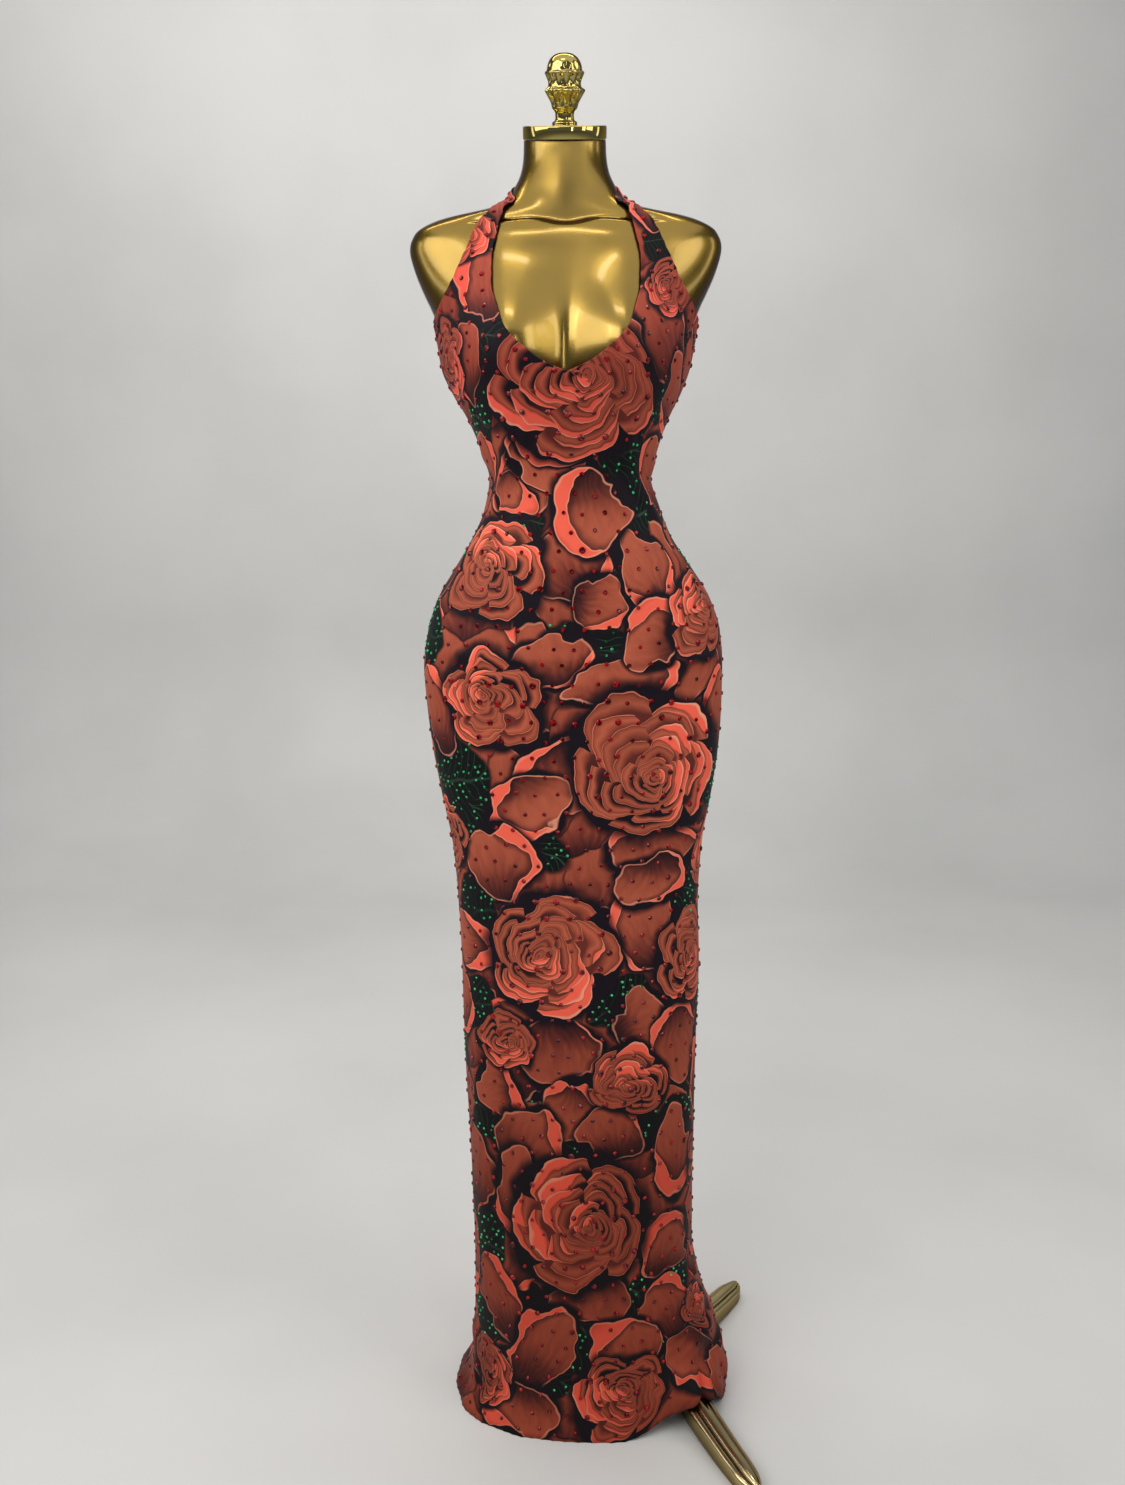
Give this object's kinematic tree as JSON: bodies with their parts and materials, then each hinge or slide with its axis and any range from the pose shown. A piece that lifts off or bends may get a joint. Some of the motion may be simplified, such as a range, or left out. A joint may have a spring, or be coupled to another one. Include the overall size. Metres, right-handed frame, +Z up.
{
  "type": "halter maxi dress on a dress form",
  "caption": "Floor-length halter dress with a deep V neckline and cut-on straps, worn by a limbless gold dress form on a three-legged stand.",
  "frame": {"origin": "on the floor, at the centre of the bounding box's floor outline", "axes": "+Z up along the form, -Y out of the front of the dress, +X to the right as seen from the front"},
  "size_m": [0.4342, 0.4078, 1.6626],
  "materials": {
    "printed_knit": "matt stretch knit printed with red roses and dark green leaves on near black",
    "red_stones": "faceted flat-backed red glass stones",
    "green_stones": "faceted flat-backed green glass stones",
    "gold_lacquer": "glossy deep gold lacquer over a moulded torso",
    "polished_gold": "bright polished gold plating"
  },
  "bodies": {
    "root": {"dress_front": "printed_knit", "dress_back": "printed_knit", "form_torso": "gold_lacquer", "neck_cap": "polished_gold", "neck_finial": "polished_gold", "stand_rod": "polished_gold", "stand_hub": "polished_gold", "stand_leg_front": "polished_gold", "stand_leg_back": "polished_gold", "stand_leg_left": "polished_gold"}
  },
  "joints": []
}
